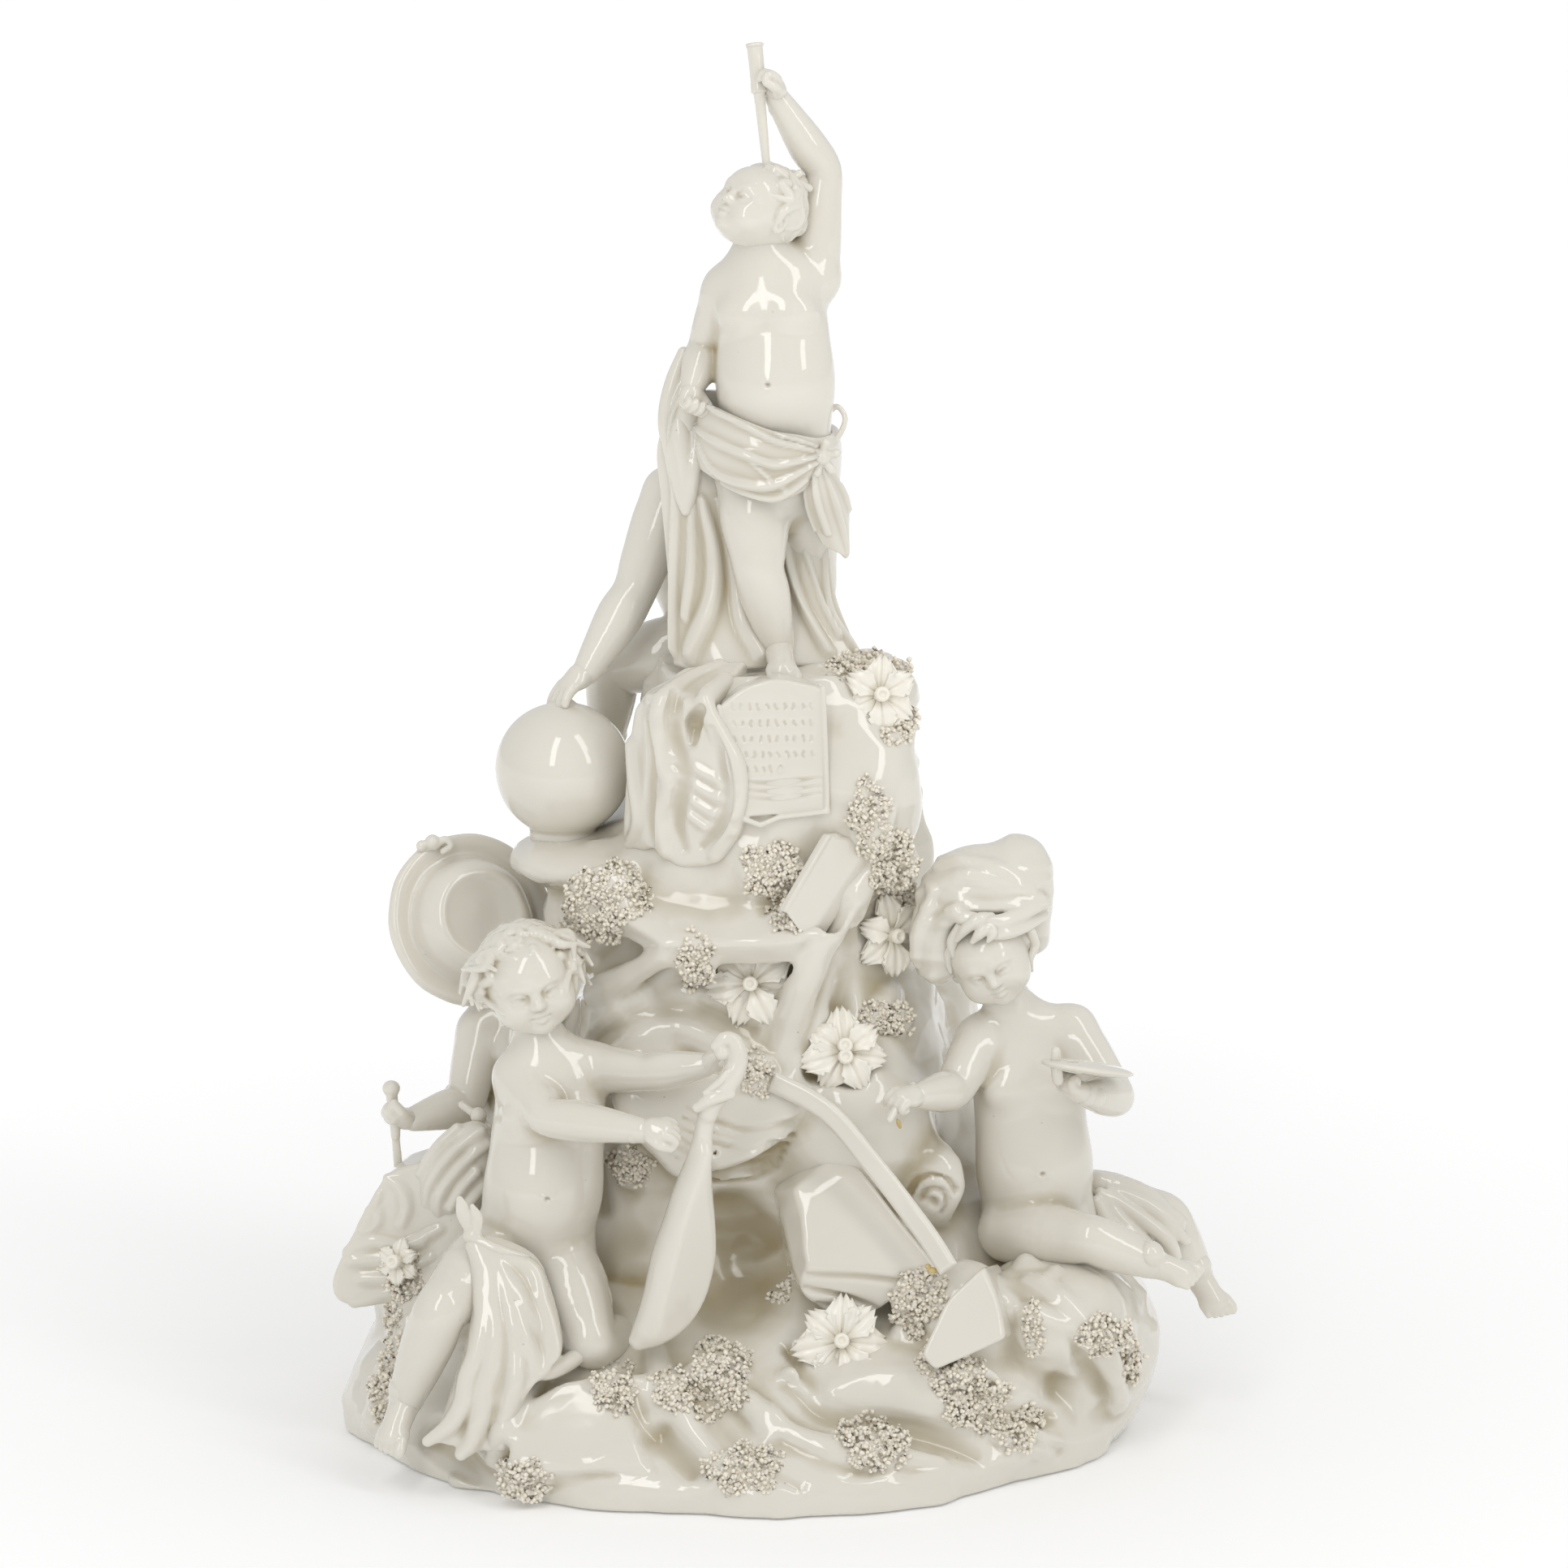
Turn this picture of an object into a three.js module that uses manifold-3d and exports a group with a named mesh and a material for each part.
import * as THREE from 'three';
import { mergeVertices } from 'three/addons/utils/BufferGeometryUtils.js';
import Module from 'manifold-3d';

const wasm = await Module();
wasm.setup();

// Glazed porcelain group of five winged-less children on a rocky mound, fired as one piece.
// Millimetres. +X runs to the right seen from the front, +Y to the back and +Z up.

// Driving dimensions of the mound
const DRUM_TOP = 249;
const GLOBE_LEDGE = 193;
const PAINTER_SEAT = 58;
const BASE_FRONT = -106;

// Driving dimensions of a child's body, as radii
const HEAD = 12.6;
const UPPER_ARM = 7.0;
const ELBOW = 5.6;
const FOREARM = 5.7;
const WRIST = 3.9;
const HAND = 4.3;
const THIGH = 11.2;
const KNEE = 8.2;
const CALF = 8.0;
const ANKLE = 4.9;
const FOOT = 4.6;

// Corners of a join that lie closer than this are one corner
const WELD = 0.02;

// Attributes
const GLOBE_RADIUS = 21.6;
const HAT_RADIUS = 27;
const LUTE_RADIUS = 13.4;
const TELESCOPE_RADIUS = 2.4;

const vector = (p) => new THREE.Vector3(p[0], p[1], p[2]);
const mix = (a, b, t) => a.map((value, i) => value + (b[i] - value) * t);

// Repeatable value from 0 to 1 for a place and a seed
function hash(x, y, z, seed) {
  const value = Math.sin(x * 12.9898 + y * 78.233 + z * 37.719 + seed * 4.581) * 43758.5453;
  return value - Math.floor(value);
}

// Closed solid of a triangle geometry, turned so that its faces point out
function solidOf(geometry) {
  geometry.deleteAttribute('normal');
  geometry.deleteAttribute('uv');
  const merged = mergeVertices(geometry, 1e-3);
  const positions = new Float32Array(merged.attributes.position.array);
  const triangles = new Uint32Array(merged.index.array);
  let volume = 0;
  const [a, b, c] = [new THREE.Vector3(), new THREE.Vector3(), new THREE.Vector3()];
  for (let i = 0; i < triangles.length; i += 3) {
    a.fromArray(positions, 3 * triangles[i]);
    b.fromArray(positions, 3 * triangles[i + 1]);
    c.fromArray(positions, 3 * triangles[i + 2]);
    volume += a.dot(b.cross(c));
  }
  if (volume < 0) {
    triangles.reverse();
  }
  return new wasm.Manifold(new wasm.Mesh({ numProp: 3, vertProperties: positions, triVerts: triangles }));
}

// Solid between rings of equal point counts, each end closed to its middle
function skin(rings) {
  const sides = rings[0].length;
  const positions = rings.flat().flatMap((p) => p.toArray());
  const index = [];
  for (let i = 0; i < rings.length - 1; i++) {
    for (let j = 0; j < sides; j++) {
      const k = (j + 1) % sides;
      const [a, b] = [i * sides + j, i * sides + k];
      index.push(a, b, b + sides, a, b + sides, a + sides);
    }
  }
  for (const [ring, flip] of [[0, true], [rings.length - 1, false]]) {
    const middle = new THREE.Vector3();
    rings[ring].forEach((p) => middle.addScaledVector(p, 1 / sides));
    const m = positions.length / 3;
    positions.push(...middle.toArray());
    for (let j = 0; j < sides; j++) {
      const [a, b] = [ring * sides + j, ring * sides + (j + 1) % sides];
      index.push(...(flip ? [m, b, a] : [m, a, b]));
    }
  }
  const geometry = new THREE.BufferGeometry();
  geometry.setAttribute('position', new THREE.Float32BufferAttribute(positions, 3));
  geometry.setIndex(index);
  return solidOf(geometry);
}

// Round-ended body along a smooth path. Keys are [x, y, z, half width, half depth]; the half
// width lies along the side direction, and the depth equals the width when it isn't given.
function tube(keys, { side = [1, 0, 0.01], sides = 7, steps = 1, blunt = false } = {}) {
  const path = new THREE.CatmullRomCurve3(keys.map(vector), false, 'centripetal');
  const last = keys.length - 1;
  const size = (t, column) => {
    const i = Math.min(Math.floor(t * last), last - 1);
    const [from, to] = [keys[i], keys[i + 1]].map((k) => k[column] ?? k[3]);
    const f = t * last - i;
    return from + (to - from) * f * f * (3 - 2 * f);
  };
  const ring = (t, shrink, shift) => {
    const tangent = path.getTangent(t);
    const across = vector(side).addScaledVector(tangent, -vector(side).dot(tangent)).normalize();
    const depth = new THREE.Vector3().crossVectors(tangent, across);
    const centre = path.getPoint(t).addScaledVector(tangent, shift * Math.min(size(t, 3), size(t, 4)));
    return Array.from({ length: sides }, (_, j) => {
      const angle = (2 * Math.PI * j) / sides;
      return centre.clone()
        .addScaledVector(across, Math.cos(angle) * size(t, 3) * shrink)
        .addScaledVector(depth, Math.sin(angle) * size(t, 4) * shrink);
    });
  };
  const rings = [];
  const count = last * steps;
  if (!blunt) {
    rings.push(ring(0, 0.45, -0.85));
  }
  for (let i = 0; i <= count; i++) {
    rings.push(ring(i / count, 1, 0));
  }
  if (!blunt) {
    rings.push(ring(1, 0.45, 0.85));
  }
  return skin(rings);
}

// Ellipsoid with its long directions turned by Euler angles in degrees
function ball(at, radii, { turn = [0, 0, 0], sides = 10 } = {}) {
  const geometry = new THREE.SphereGeometry(1, sides, Math.max(4, Math.round(sides * 0.7)));
  const [rx, ry, rz] = Array.isArray(radii) ? radii : [radii, radii, radii];
  geometry.rotateX(Math.PI / 2).scale(rx, ry, rz);
  geometry.applyMatrix4(new THREE.Matrix4().makeRotationFromEuler(
    new THREE.Euler(...turn.map(THREE.MathUtils.degToRad))));
  geometry.translate(...at);
  return solidOf(geometry);
}

// Rough stone: a faceted ball whose corners stand in and out by the given share
function boulder(at, radii, seed, { rough = 0.16, detail = 0 } = {}) {
  const geometry = new THREE.IcosahedronGeometry(1, detail);
  geometry.deleteAttribute('normal');
  geometry.deleteAttribute('uv');
  const merged = mergeVertices(geometry, 1e-3);
  const place = merged.attributes.position;
  for (let i = 0; i < place.count; i++) {
    const p = new THREE.Vector3().fromBufferAttribute(place, i);
    const grow = 1 + rough * (2 * hash(...p.toArray().map((v) => Math.round(v * 50)), seed) - 1);
    place.setXYZ(i, at[0] + p.x * radii[0] * grow, at[1] + p.y * radii[1] * grow, at[2] + p.z * radii[2] * grow);
  }
  return solidOf(merged);
}

// Sheet of porcelain between two edge curves, with ridged folds that run along them
function sheet(edgeA, edgeB, { thick = 3, folds = 0, depth = 0, columns = 4, rows = 6, bulge = 0 } = {}) {
  const [curveA, curveB] = [edgeA, edgeB].map((e) => new THREE.CatmullRomCurve3(e.map(vector)));
  const front = [];
  const back = [];
  for (let i = 0; i <= rows; i++) {
    const v = i / rows;
    const [a, b] = [curveA.getPoint(v), curveB.getPoint(v)];
    const along = curveA.getTangent(v).add(curveB.getTangent(v)).normalize();
    const normal = new THREE.Vector3().crossVectors(b.clone().sub(a), along).normalize();
    for (let j = 0; j <= columns; j++) {
      const u = j / columns;
      const lift = depth * Math.cos(2 * Math.PI * folds * u) + bulge * Math.sin(Math.PI * u);
      const middle = a.clone().lerp(b, u).addScaledVector(normal, lift);
      front.push(middle.clone().addScaledVector(normal, thick / 2));
      back.push(middle.clone().addScaledVector(normal, -thick / 2));
    }
  }
  const width = columns + 1;
  const border = [];
  for (let j = 0; j < columns; j++) border.push(j);
  for (let i = 0; i < rows; i++) border.push(i * width + columns);
  for (let j = columns; j > 0; j--) border.push(rows * width + j);
  for (let i = rows; i > 0; i--) border.push(i * width);
  const index = [];
  for (let i = 0; i < rows; i++) {
    for (let j = 0; j < columns; j++) {
      const a = i * width + j;
      index.push(a, a + 1, a + width + 1, a, a + width + 1, a + width);
      const b = a + front.length;
      index.push(b, b + width + 1, b + 1, b, b + width, b + width + 1);
    }
  }
  border.forEach((a, i) => {
    const b = border[(i + 1) % border.length];
    index.push(a, a + front.length, b + front.length, a, b + front.length, b);
  });
  const geometry = new THREE.BufferGeometry();
  geometry.setAttribute('position',
    new THREE.Float32BufferAttribute([...front, ...back].flatMap((p) => p.toArray()), 3));
  geometry.setIndex(index);
  return solidOf(geometry);
}

// Turned solid: profile points [radius, height] stand on `at` with the height along `axis`
function turned(profile, at, axis, sides = 14) {
  const geometry = new THREE.LatheGeometry(profile.map(([r, h]) => new THREE.Vector2(r, h)), sides);
  const spin = new THREE.Quaternion().setFromUnitVectors(new THREE.Vector3(0, 1, 0), vector(axis).normalize());
  geometry.applyQuaternion(spin).translate(...at);
  return solidOf(geometry);
}

// Open flower on a short boss: pointed petals round a button
function flower(at, facing, radius, petals = 7) {
  const [steps, rows] = [petals * 2, [[0.3, 0.42], [1, 0.3]]];
  const spin = new THREE.Quaternion().setFromUnitVectors(new THREE.Vector3(0, 0, 1), vector(facing).normalize());
  const ring = (share, height, star) => Array.from({ length: steps }, (_, j) => {
    const reach = radius * share * (star && j % 2 ? 0.66 : 1);
    const angle = (2 * Math.PI * j) / steps;
    return new THREE.Vector3(Math.cos(angle) * reach, Math.sin(angle) * reach, height * radius)
      .applyQuaternion(spin).add(vector(at));
  });
  return skin([
    ring(0.5, -0.55, false),
    ...rows.reverse().map(([share, height]) => ring(share, height, share > 0.9)),
  ]);
}

// Clump of shredded clay that stands for moss
const moss = (at, radii, seed) => boulder(at, radii, seed, { rough: 0.28, detail: 0 });

// Swellings of a child's head: direction, spread and height as shares of its size
const FACE = [
  { at: [0.5, 0.68, -0.45], spread: 0.36, height: 0.13 },
  { at: [-0.5, 0.68, -0.45], spread: 0.36, height: 0.13 },
  { at: [0, 0.72, -0.72], spread: 0.24, height: 0.12 },
  { at: [0, 0.98, -0.18], spread: 0.2, height: 0.16 },
  { at: [0, 0.84, 0.5], spread: 0.5, height: 0.06 },
  { at: [1, -0.05, -0.12], spread: 0.2, height: 0.1 },
  { at: [-1, -0.05, -0.12], spread: 0.2, height: 0.1 },
];

// Head with full cheeks and tufted hair, looking along `face`, its crown towards `crown`
function head(at, face, crown, { size = HEAD, seed = 1, hair = 0.14, detail = 2 } = {}) {
  const forward = vector(face).normalize();
  const up = vector(crown).addScaledVector(forward, -vector(crown).dot(forward)).normalize();
  const right = new THREE.Vector3().crossVectors(forward, up);
  const ball = new THREE.IcosahedronGeometry(1, detail);
  ball.deleteAttribute('normal');
  ball.deleteAttribute('uv');
  const geometry = mergeVertices(ball, 1e-3);
  const place = geometry.attributes.position;
  for (let i = 0; i < place.count; i++) {
    const d = new THREE.Vector3().fromBufferAttribute(place, i);
    let reach = 1;
    for (const bump of FACE) {
      reach += bump.height * Math.exp(-d.distanceToSquared(vector(bump.at)) / bump.spread ** 2);
    }
    if (0.8 * d.z - 0.72 * d.y > 0) {
      reach += hair * (0.5 + 1.1 * hash(i, 0, 0, seed));
    }
    const p = vector(at).addScaledVector(right, d.x * reach * size)
      .addScaledVector(forward, d.y * reach * size).addScaledVector(up, d.z * reach * size);
    place.setXYZ(i, p.x, p.y, p.z);
  }
  return solidOf(geometry);
}

// Arm from shoulder to fingertips, with a soft upper arm and a full forearm
function arm(shoulder, elbow, wrist, hand, { scale = 1 } = {}) {
  return tube([
    [...shoulder, UPPER_ARM * scale],
    [...mix(shoulder, elbow, 0.55), UPPER_ARM * scale],
    [...elbow, ELBOW * scale],
    [...mix(elbow, wrist, 0.4), FOREARM * scale],
    [...wrist, WRIST * scale],
    [...hand, HAND * scale],
  ], { side: [0.2, 1, 0.1], sides: 6 });
}

// Leg from hip to ankle, turning at the heel into the foot
function leg(hip, knee, ankle, toe, { scale = 1 } = {}) {
  return tube([
    [...hip, THIGH * scale],
    [...mix(hip, knee, 0.5), THIGH * scale],
    [...knee, KNEE * scale],
    [...mix(knee, ankle, 0.36), CALF * scale],
    [...ankle, ANKLE * scale],
    [...mix(ankle, toe, 0.5), FOOT * scale],
    [...toe, FOOT * 0.86 * scale],
  ], { side: [0.3, 1, 0.1], sides: 6 });
}

// Trunk as a smooth body through pelvis, belly, chest and neck
function trunk(keys, side) {
  return tube(keys, { side, sides: 9 });
}

// Dressed block of stone, turned by Euler angles in degrees
function block(at, size, turn) {
  const geometry = new THREE.BoxGeometry(...size);
  geometry.applyMatrix4(new THREE.Matrix4().makeRotationFromEuler(
    new THREE.Euler(...turn.map(THREE.MathUtils.degToRad))));
  geometry.translate(...at);
  return solidOf(geometry);
}

// Standing astronomer, on top of the drum, with the telescope raised to the eye
function astronomer() {
  return [
    trunk([[-2, -8, 306, 16, 13.5], [-3, -13, 336, 18.4, 16.5], [-2, -10, 357, 17.5, 13.5], [-2, -8, 373, 17.5, 10.5],
      [-5, -9, 382, 9, 8], [-6, -11, 388, 7, 6.5]], [1, 0.1, 0.22]),
    head([-6.5, -15, 396], [-0.78, -0.42, 0.42], [0.45, -0.1, 0.88], { seed: 3 }),
    ball([3, -8, 403], [6.5, 6, 6], { sides: 6 }),
    arm([10, -6, 375], [13, -4, 410], [-1, -8, 429], [-3, -9, 438]),
    arm([-18, -6, 369], [-24, -2, 351], [-28, -11, 340], [-28.5, -14, 334]),
    tube([[-13, -11, 437, 1.6], [-3, -12, 434, 2]], { sides: 5 }),
    turned([[0, 0], [1.4, 0], [TELESCOPE_RADIUS * 0.75, 21], [TELESCOPE_RADIUS, 21.5], [TELESCOPE_RADIUS, 43],
      [0, 43]], [-4, -15, 406], [-0.1, 0.13, 1], 7),
    leg([-9, -11, 308], [-7, -19, 282], [-1, -14, 258], [0.5, -30, 252.5]),
    leg([7, -2, 307], [10, 5, 281], [10, 9, 257], [15, -2, 252]),
    // Loincloth, its knot and the tail of the knot
    tube([[-2, -10, 302, 15.5, 14], [-1, -10, 316, 18, 16], [-2, -12, 329, 18.6, 16.5]],
      { side: [1, 0.1, -0.25], sides: 9 }),
    ball([13, -21, 318], [5.5, 4, 5], { sides: 6 }),
    sheet([[9, -21, 318], [15, -16, 300], [19, -10, 285]], [[17, -15, 320], [24, -9, 303], [24, -5, 285]],
      { thick: 4.5, columns: 2, rows: 2, folds: 1, depth: 0.8 }),
  ];
}

// Cloth behind the astronomer and its fall over the drum
function greatDrape() {
  return [
    sheet([[-29, -12, 338], [-37, -2, 316], [-35, 0, 284], [-34, -8, 250]],
      [[-14, 4, 334], [4, 8, 312], [12, 10, 284], [26, 2, 249]],
      { thick: 9, folds: 3, depth: 2.6, columns: 9, rows: 3 }),
    tube([[-28, -13, 336, 3.4], [-38, -8, 336, 3.8], [-38, -4, 320, 4.4]], { sides: 6 }),
    sheet([[-31, -10, 256], [-46, -16, 244], [-54, -27, 222], [-58, -30, 196]],
      [[-2, -32, 254], [-20, -41, 238], [-14, -46, 218], [-15, -48, 192]],
      { thick: 9, folds: 3, depth: 2.4, columns: 9, rows: 3 }),
  ];
}

// Geographer seated at the back of the drum, leaning on the globe
function geographer() {
  const bands = 8;
  return [
    trunk([[-22, 34, 256, 17, 14], [-27, 33, 278, 15.5, 13], [-29, 27, 295, 16, 10], [-27, 27, 305, 8, 7],
      [-25, 28, 310, 6.5, 6.5]], [0.9, 0.4, 0]),
    head([-24, 29, 318], [-0.8, -0.1, -0.35], [0, 0, 1], { seed: 7 }),
    arm([-39, 15, 291], [-48, 8, 269], [-62, -3, 247], [-70, -7, 241]),
    arm([-17, 34, 292], [-8, 46, 276], [-16, 52, 260], [-24, 50, 253]),
    leg([-32, 22, 250], [-55, 22, 243], [-57, 30, 220], [-62, 18, 212]),
    leg([-16, 42, 250], [-26, 57, 238], [-30, 58, 212], [-42, 58, 206]),
    turned([[0, -GLOBE_RADIUS], ...Array.from({ length: bands - 1 }, (_, i) => {
      const angle = (Math.PI * (i + 1)) / bands;
      return [GLOBE_RADIUS * Math.sin(angle), -GLOBE_RADIUS * Math.cos(angle)];
    }), [0, GLOBE_RADIUS]], [-70.7, -6, GLOBE_LEDGE + GLOBE_RADIUS + 1], [0.1, 0, 1], 14),
    boulder([-66, -4, GLOBE_LEDGE - 8], [24, 28, 14], 31, { detail: 1, rough: 0.1 }),
  ];
}

// Lute player, half kneeling in front of the mound on the left
function lutePlayer() {
  const lute = { foot: [-46, -86, 45], axis: [0.29, 0.02, 0.92] };
  return [
    trunk([[-80, -58, 66, 20, 15], [-76, -63, 90, 19, 17], [-74, -60, 108, 17.5, 14], [-74, -56, 123, 17.5, 11],
      [-75, -53, 132, 9.5, 8], [-78, -52, 140, 7, 7]], [1, -0.1, 0.1]),
    head([-81, -52, 154], [0.62, -0.62, -0.42], [-0.1, 0.1, 1], { size: HEAD * 1.16, seed: 11, hair: 0.26 }),
    arm([-88, -57, 122], [-72, -78, 107], [-42, -90, 116], [-30, -92, 119], { scale: 1.12 }),
    arm([-59, -54, 125], [-42, -66, 127], [-24, -71, 132], [-17.6, -74.4, 136.4], { scale: 1.05 }),
    leg([-90, -62, 70], [-107, -90, 56], [-119, -84, 24], [-124, -98, 12]),
    leg([-70, -62, 66], [-60, -78, 44], [-46, -52, 38], [-38, -42, 32]),
    turned([[0, 0], [LUTE_RADIUS * 0.8, 6], [LUTE_RADIUS, 20], [LUTE_RADIUS * 0.86, 36],
      [LUTE_RADIUS * 0.46, 56], [3.4, 66], [2.9, 88], [0, 88]], lute.foot, lute.axis, 10),
    tube([[-19, -85, 128, 3.4, 3.8], [-18, -82, 136, 3.6, 4], [-15, -80, 141, 4.2, 4.2], [-11, -80, 138, 3.4, 3.4]],
      { sides: 6 }),
    // Cloth gathered at the hip, with ridges that fan down to the ground
    ball([-98, -72, 76], [6, 5, 6], { sides: 6 }),
    sheet([[-101, -74, 76], [-98, -92, 50], [-98, -98, 22], [-104, -100, 3]],
      [[-82, -78, 70], [-66, -88, 48], [-56, -92, 30], [-62, -98, 10]],
      { thick: 9, folds: 3, depth: 2.2, columns: 9, rows: 3 }),
  ];
}

// Sculptor at the back left, under a broad hat, with the chisel on a carved block
function sculptor() {
  const hat = [0.4, -0.82, 0.34];
  return [
    trunk([[-82, 8, 80, 18, 15], [-84, 4, 104, 17, 14], [-86, 3, 125, 17, 11], [-91, 3, 136, 9, 8],
      [-95, 5, 145, 6.5, 6.5]], [0.8, 0.5, 0]),
    head([-97, 8, 153], [-0.35, -0.75, -0.5], [0.3, -0.6, 0.7], { seed: 17 }),
    arm([-98, -4, 128], [-103, -14, 105], [-120, -25, 103], [-127, -28, 104], { scale: 1.05 }),
    arm([-76, 13, 124], [-90, 32, 112], [-108, 30, 100], [-116, 22, 92]),
    leg([-94, 2, 78], [-112, -4, 70], [-112, 2, 46], [-122, -6, 38]),
    leg([-78, 20, 78], [-98, 36, 70], [-100, 40, 44], [-112, 36, 36]),
    turned([[0, -3], [HAT_RADIUS * 0.8, -3], [HAT_RADIUS, 4.5], [HAT_RADIUS * 0.74, 1.5],
      [HAT_RADIUS * 0.6, 3], [HAT_RADIUS * 0.5, 10], [0, 12]], [-104, 0, 162], hat, 14),
    ball([-115, 0, 189], [5, 3.5, 3.4], { sides: 5 }),
    turned([[0, 0], [1.8, 1], [2.4, 15], [3.2, 22], [0, 25]], [-125, -27, 88], [0, 0, 1], 6),
    // Carved capital: a leaning block with a volute and a fan of leaf ribs
    sheet([[-128, -30, 91], [-143, -34, 66], [-146, -36, 44]], [[-104, -24, 92], [-102, -30, 66], [-102, -36, 40]],
      { thick: 26, columns: 2, rows: 3 }),
    sheet([[-108, -28, 94], [-112, -46, 78], [-114, -52, 58]], [[-92, -34, 98], [-92, -52, 80], [-94, -56, 58]],
      { thick: 8, folds: 2.5, depth: 1.6, columns: 5, rows: 2 }),
    tube([[-139, -44, 68, 2.6], [-138, -50, 54, 2.8], [-128, -50, 50, 2.8], [-125, -48, 62, 2.6]], { sides: 5 }),
  ];
}

// Painter on the right, cross-legged on a stone seat, with the palette and a broken brush
function painter() {
  return [
    trunk([[84, -24, 62, 19.5, 15], [83, -32, 88, 19.5, 17], [82, -30, 108, 18, 14], [82, -27, 125, 18, 11],
      [79, -27, 134, 10, 8], [74, -29, 142, 7.5, 7]], [1, 0.1, 0.1]),
    head([69, -32, 153], [-0.35, -0.78, -0.5], [-0.05, -0.35, 0.95], { size: HEAD * 1.06, seed: 23 }),
    arm([66, -31, 129], [57, -46, 116], [44, -62, 119], [38, -66, 121], { scale: 1.1 }),
    arm([99, -27, 128], [112, -42, 112], [98, -61, 121], [89, -65, 127], { scale: 1.1 }),
    leg([76, -34, 66], [102, -60, 68], [118, -50, 60], [131, -56, 61]),
    leg([98, -12, 68], [126, -12, 62], [138, -8, 42], [145, -14, 35]),
    // Soft cap with a high crumpled crown and a roll over the brow
    tube([[50, -27, 160, 12, 13], [60, -25, 170, 17, 18], [70, -21, 180, 17, 19], [80, -18, 190, 10, 12]],
      { side: [1, 0, -0.7], sides: 9 }),
    tube([[47, -28, 158, 5], [60, -42, 164, 5.5], [80, -38, 165, 5.5], [86, -24, 162, 5]],
      { side: [0, 0, 1], sides: 6 }),
    // Palette seen on edge, the brush stub, and the cloth on the seat
    sheet([[83, -74, 132], [97, -76, 128], [111, -62, 124]], [[86, -50, 132], [98, -46, 129], [112, -46, 125]],
      { thick: 3.6, columns: 2, rows: 4 }),
    turned([[0, -8], [1.8, -8], [1.8, 7], [0, 7]], [37, -67, 118], [-0.4, -0.3, -0.8], 6),
    sheet([[90, -50, 82], [108, -58, 78], [126, -38, 72]], [[84, -58, 60], [104, -72, 56], [126, -52, 52]],
      { thick: 8, folds: 2, depth: 1.4, columns: 6, rows: 3 }),
    sheet([[64, -40, 66], [90, -58, 62], [122, -44, 58]], [[62, -58, 48], [92, -74, 44], [124, -58, 42]],
      { thick: 9, folds: 1.5, depth: 1.4, columns: 4, rows: 4 }),
  ];
}

// Mound sections: height, centre and half size across and front to back
const MOUND = [
  { z: -8, x: -12, y: 0, across: 125, deep: 102 },
  { z: 13, x: -12, y: 0, across: 132, deep: 105 },
  { z: 34, x: -8, y: 4, across: 122, deep: 92 },
  { z: 56, x: -6, y: 12, across: 106, deep: 76 },
  { z: 84, x: -12, y: 14, across: 84, deep: 66 },
  { z: 118, x: -8, y: 10, across: 66, deep: 62 },
  { z: 150, x: -10, y: 6, across: 60, deep: 55 },
  { z: 182, x: -14, y: 4, across: 56, deep: 49 },
  { z: 206, x: -2, y: 3, across: 45, deep: 45 },
  { z: DRUM_TOP - 8, x: -1, y: 4, across: 44, deep: 41 },
  { z: DRUM_TOP, x: -1, y: 4, across: 38, deep: 36 },
];

// Rugged column from the base to the drum, broken into facets by standing its corners in and out
function mound() {
  const sides = 26;
  const rings = MOUND.map(({ z, x, y, across, deep }, row) => Array.from({ length: sides }, (_, j) => {
    const angle = (2 * Math.PI * (j + 0.5 * (row % 2))) / sides;
    const calm = z < 1 || z >= DRUM_TOP - 8 ? 0.25 : 1;
    const crag = 1 + calm * (0.12 * (hash(j, row, 0, 5) - 0.5) + 0.03 * Math.sin(5 * angle + row));
    return new THREE.Vector3(x + across * Math.cos(angle) * crag, y + deep * Math.sin(angle) * crag, z);
  }));
  return skin(rings);
}

// Ledges and crags that stand off the mound
function rockwork() {
  const stones = [
    [[96, -14, 30], [34, 40, 28], 41], [[84, 14, 48], [30, 32, 24], 42], [[-96, -16, 44], [38, 34, 34], 44],
    [[-98, 26, 30], [36, 36, 26], 45], [[8, -46, 116], [42, 20, 22], 46], [[30, -30, 150], [26, 24, 22], 48],
    [[-34, -34, 160], [28, 20, 22], 49], [[26, -28, 200], [22, 18, 22], 51], [[4, -38, 180], [28, 14, 12], 52],
    [[50, -44, 88], [18, 22, 22], 53], [[-30, 50, 120], [34, 22, 46], 54], [[24, 44, 170], [26, 20, 40], 55],
    [[44, -74, 34], [44, 26, 22], 57], [[-56, -70, 24], [44, 28, 20], 58],
  ];
  return stones.map(([at, radii, seed]) => boulder(at, radii, seed));
}

// Dressed stones and small carved things on the front
function frontPieces() {
  return [
    block([25, -64, 72], [46, 28, 27], [10, 34, 6]),
    block([60, -86, 48], [22, 22, 38], [-20, 22, 12]),
    sheet([[-6, -56, 125], [22, -66, 108], [38, -76, 88], [51, -86, 67]],
      [[0, -58, 129], [28, -64, 109], [44, -74, 88], [57, -82, 68]], { thick: 4, columns: 1, rows: 6 }),
    // Open book on the front of the drum, its lower leaves, and a second book below
    sheet([[-20, -40, 244], [-18, -45, 204]], [[14, -42, 244], [16, -46, 202]],
      { thick: 6, columns: 3, rows: 1, bulge: -2 }),
    block([15, -44, 179], [13, 9, 38], [12, 38, 0]),
    tube([[44, -66, 90, 4], [50, -68, 97, 4.6], [57, -64, 92, 4.6], [55, -60, 80, 4]], { sides: 5 }),
  ];
}

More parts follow.
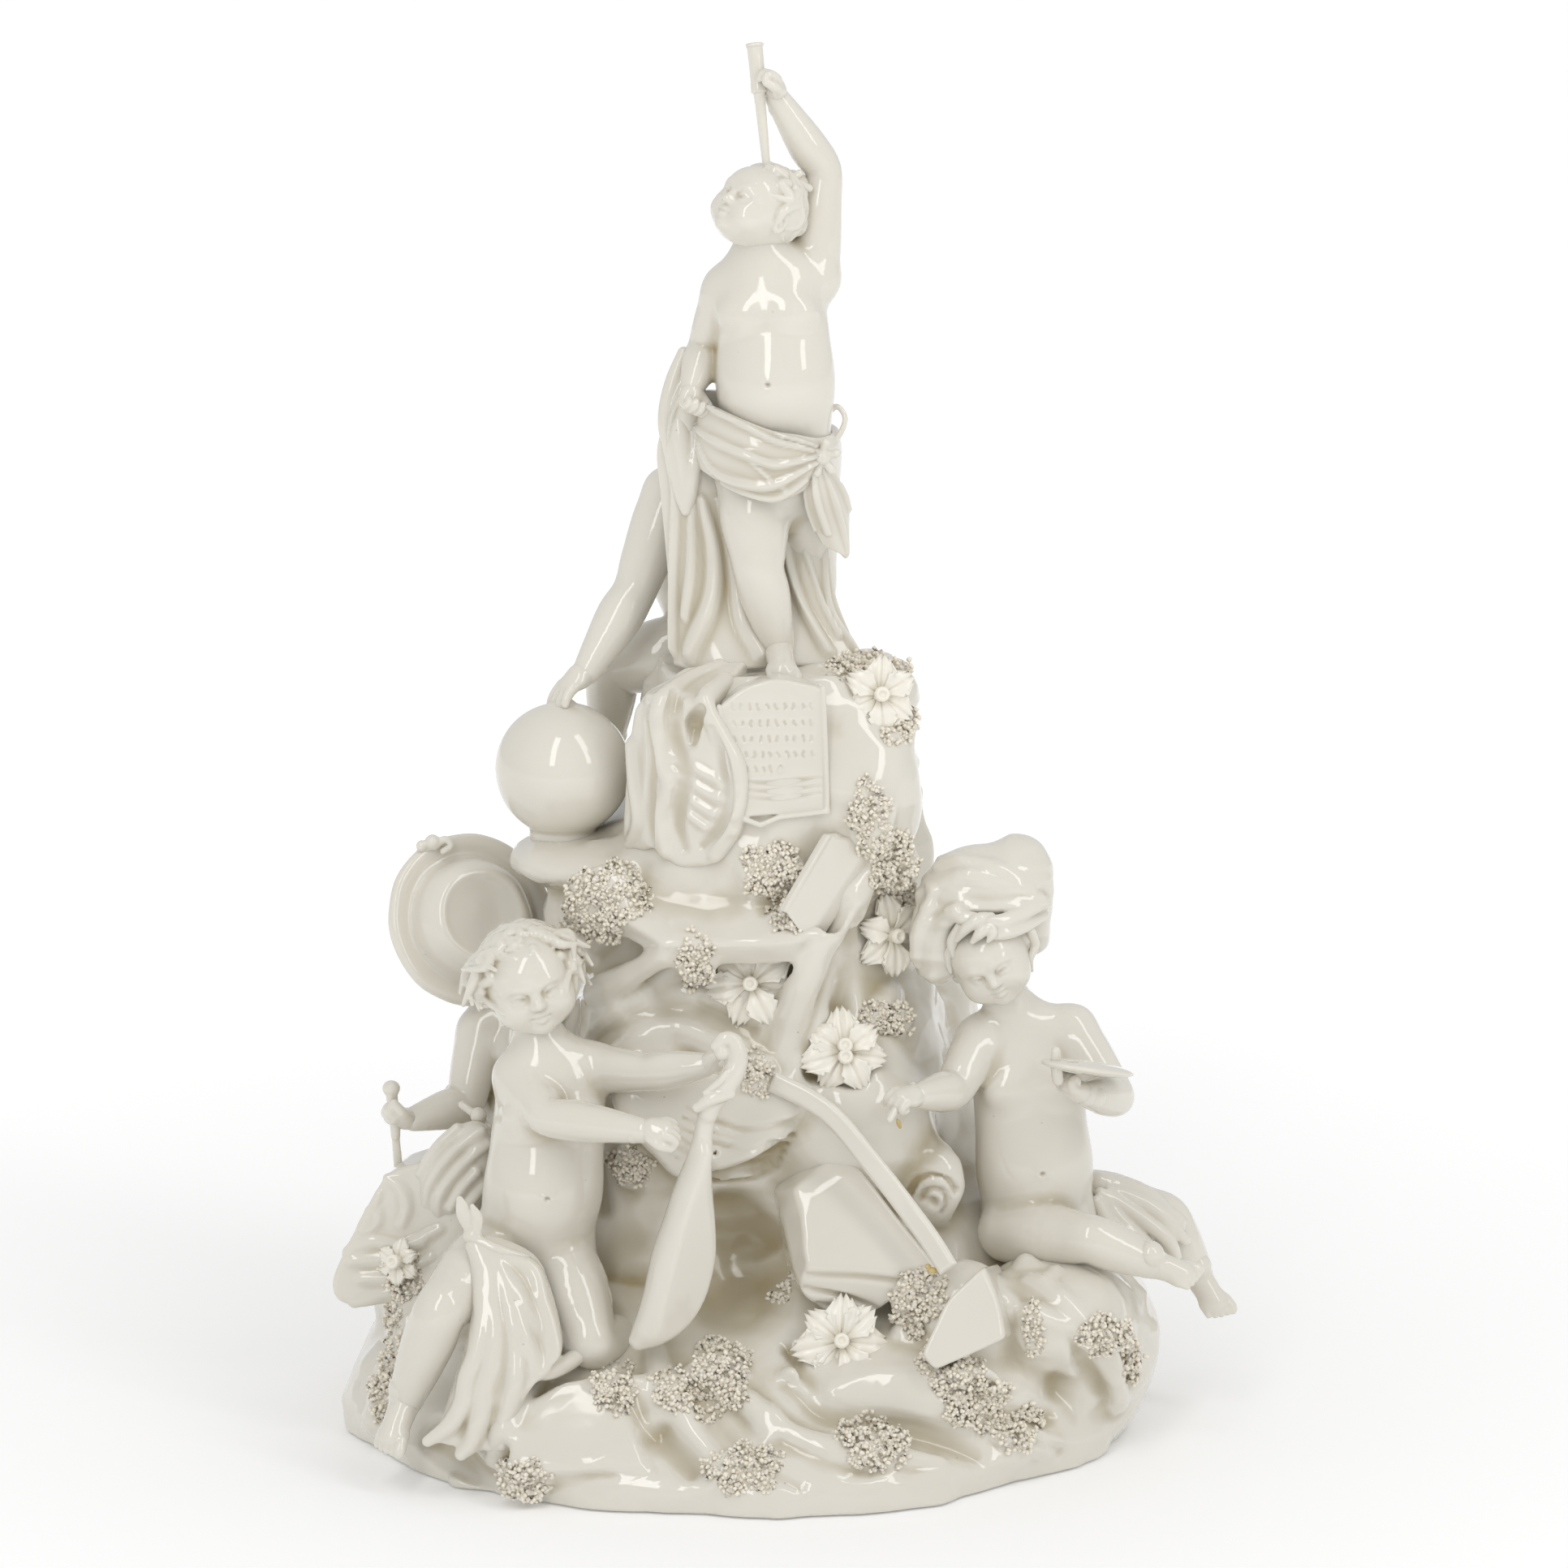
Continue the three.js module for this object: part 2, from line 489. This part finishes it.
// Moss clumps: place, half sizes
const MOSS = [
  [[28, -24, 246], [17, 12, 7]], [[28, -44, 206], [10, 8, 15]], [[-2, -48, 186], [14, 8, 12]],
  [[-56, -34, 178], [15, 9, 15]], [[-27, -52, 162], [9, 7, 9]], [[34, -52, 142], [10, 7, 6]],
  [[-50, -48, 94], [8, 9, 10]], [[-52, -90, 32], [9, 8, 8]], [[-16, -92, 32], [15, 10, 14]],
  [[44, -94, 50], [10, 8, 13]], [[52, -99, 20], [22, 10, 12]],
  [[-82, -98, 9], [11, 9, 8]], [[103, -60, 40], [9, 11, 11]], [[-124, -60, 34], [12, 14, 20]],
  [[-26, 62, 92], [18, 14, 14]],
];

// Flowers: place, facing and radius
const FLOWERS = [
  [[-9, -56, 154], [-0.1, -1, 0.25], 15], [[20, -59, 132], [0.1, -1, 0.35], 14.5],
  [[34, -42, 168], [0.6, -0.8, 0.1], 9], [[31, -34, 246], [0.1, -0.9, 0.4], 10],
  [[19, -98, 48], [0.05, -1, 0.35], 14.5], [[-20, 74, 130], [0, 1, 0.2], 13],
];

// Whole group as one fired body, its box centred over the origin with the base at z = 0
function porcelainGroup() {
  const cave = boulder([-17, -72, 62], [31, 36, 24], 71, { rough: 0.1, detail: 1 });
  const below = turned([[0, -60], [400, -60], [400, 0], [0, 0]], [0, 0, 0], [0, 0, 1], 6);
  const stone = [mound(), ...rockwork()].reduce((whole, piece) => whole.add(piece)).subtract(cave);
  const pieces = [
    ...astronomer(), ...greatDrape(), ...geographer(), ...lutePlayer(), ...sculptor(), ...painter(),
    ...frontPieces(),
    ...MOSS.map(([at, radii], i) => moss(at, radii, 80 + i)),
    ...FLOWERS.map(([at, facing, radius]) => flower(at, facing, radius)),
  ];
  const joined = pieces.reduce((whole, piece) => whole.add(piece), stone).subtract(below);
  // Bubbles closed in between the joined forms are filled with clay
  const whole = joined.setTolerance(WELD).decompose().filter((body) => body.volume() > 0);
  return whole.sort((a, b) => b.volume() - a.volume())[0];
}

function meshOf(solid, name, material) {
  const { vertProperties, triVerts } = solid.getMesh();
  const geometry = new THREE.BufferGeometry();
  geometry.setAttribute('position', new THREE.Float32BufferAttribute(vertProperties, 3));
  geometry.setIndex(new THREE.Uint32BufferAttribute(triVerts, 1));
  geometry.computeBoundingBox();
  const middle = geometry.boundingBox.getCenter(new THREE.Vector3());
  geometry.translate(-middle.x, -middle.y, 0);
  geometry.computeVertexNormals();
  const mesh = new THREE.Mesh(geometry, material);
  mesh.name = name;
  return mesh;
}

const porcelain = new THREE.MeshStandardMaterial({ color: 0xf1ede2, roughness: 0.14, metalness: 0 });
const group = new THREE.Group();
group.add(meshOf(porcelainGroup(), 'porcelain_group', porcelain));

export default group;
